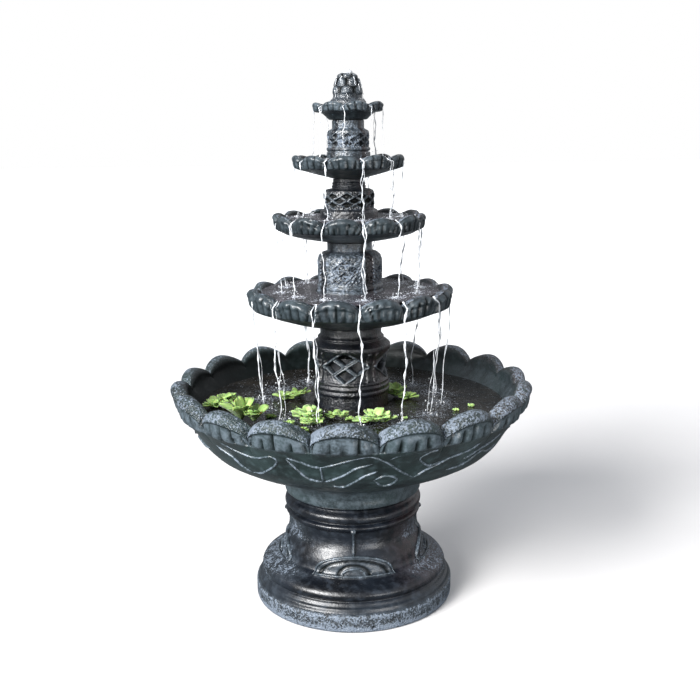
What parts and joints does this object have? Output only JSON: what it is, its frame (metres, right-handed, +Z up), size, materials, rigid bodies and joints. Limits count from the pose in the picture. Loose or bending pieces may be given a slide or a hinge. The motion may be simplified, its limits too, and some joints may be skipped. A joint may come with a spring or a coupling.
{
  "type": "tiered water fountain",
  "caption": "Free-standing garden fountain of stacked scalloped stone bowls on relief columns, with a pump in the lowest column that lifts water to a bud on top.",
  "frame": {"origin": "centre of the foot's flat underside", "axes": "+Z up along the fountain's axis, -Y to the front, +X to the right of someone facing it"},
  "size_m": [1.1218, 1.131, 1.65],
  "materials": {
    "cast_stone": "satin",
    "black_rubber": "matte",
    "pvc_pipe": "satin",
    "pump_plastic": "satin",
    "impeller_plastic": "satin",
    "clear_hose": "gloss",
    "filter_foam": "matte",
    "core_steel": "satin",
    "copper": "satin",
    "magnet": "matte",
    "shaft_ceramic": "gloss",
    "clip_steel": "satin",
    "water": "polished",
    "pool_water": "polished",
    "foliage": "satin"
  },
  "bodies": {
    "pedestal": {"pedestal": "cast_stone", "basin_seat_ring": "black_rubber"},
    "basin": {"basin": "cast_stone", "cord_stopper": "black_rubber", "suction_feet": "black_rubber", "pump_housing": "pump_plastic", "motor_cover": "pump_plastic", "cord_gland": "black_rubber", "stator_core": "core_steel", "stator_coil": "copper", "pump_shaft": "shaft_ceramic", "shaft_bush_front": "black_rubber", "shaft_bush_rear": "black_rubber", "volute_cover": "pump_plastic", "volute_seal": "black_rubber", "hose_tail": "pump_plastic", "pump_hose": "clear_hose", "hose_clip": "clip_steel"},
    "impeller": {"impeller": "impeller_plastic", "rotor_magnet": "magnet"},
    "flow_dial": {"flow_dial": "pump_plastic"},
    "strainer": {"strainer_cover": "pump_plastic", "strainer_sponge": "filter_foam"},
    "tier_1": {"column_1": "cast_stone", "dish_1_gasket": "black_rubber", "dish_1": "cast_stone", "dish_1_stopper": "black_rubber", "riser_1": "pvc_pipe", "riser_coupling_1": "black_rubber"},
    "tier_2": {"column_2": "cast_stone", "dish_2_gasket": "black_rubber", "dish_2": "cast_stone", "dish_2_stopper": "black_rubber", "riser_2": "pvc_pipe", "riser_coupling_2": "black_rubber"},
    "tier_3": {"column_3": "cast_stone", "dish_3_gasket": "black_rubber", "dish_3": "cast_stone", "dish_3_stopper": "black_rubber", "riser_3": "pvc_pipe", "riser_coupling_3": "black_rubber"},
    "tier_4": {"column_4": "cast_stone", "dish_4_gasket": "black_rubber", "dish_4": "cast_stone", "dish_4_stopper": "black_rubber", "riser_4": "pvc_pipe", "riser_coupling_4": "black_rubber"},
    "finial": {"finial": "cast_stone", "finial_nozzle": "copper", "finial_grommet": "black_rubber"}
  },
  "joints": [
    {"name": "basin_lift", "type": "slide", "parent": "pedestal", "child": "basin", "axis": [0, 0, 1], "range_m": [0, 0.06]},
    {"name": "tier_1_lift", "type": "slide", "parent": "basin", "child": "tier_1", "axis": [0, 0, 1], "range_m": [0, 0.24]},
    {"name": "tier_2_lift", "type": "slide", "parent": "tier_1", "child": "tier_2", "axis": [0, 0, 1], "range_m": [0, 0.06]},
    {"name": "tier_3_lift", "type": "slide", "parent": "tier_2", "child": "tier_3", "axis": [0, 0, 1], "range_m": [0, 0.06]},
    {"name": "tier_4_lift", "type": "slide", "parent": "tier_3", "child": "tier_4", "axis": [0, 0, 1], "range_m": [0, 0.06]},
    {"name": "finial_lift", "type": "slide", "parent": "tier_4", "child": "finial", "axis": [0, 0, 1], "range_m": [0, 0.07]},
    {"name": "impeller_spin", "type": "hinge", "parent": "basin", "child": "impeller", "pos_m": [0, 0, 0.51], "axis": [0, 1, 0], "continuous": true},
    {"name": "flow_dial_turn", "type": "hinge", "parent": "basin", "child": "flow_dial", "pos_m": [0.024, 0, 0.51], "axis": [1, 0, 0], "range_deg": [0, 90]},
    {"name": "strainer_slide", "type": "slide", "parent": "basin", "child": "strainer", "axis": [0, -1, 0], "range_m": [0, 0.022]}
  ]
}
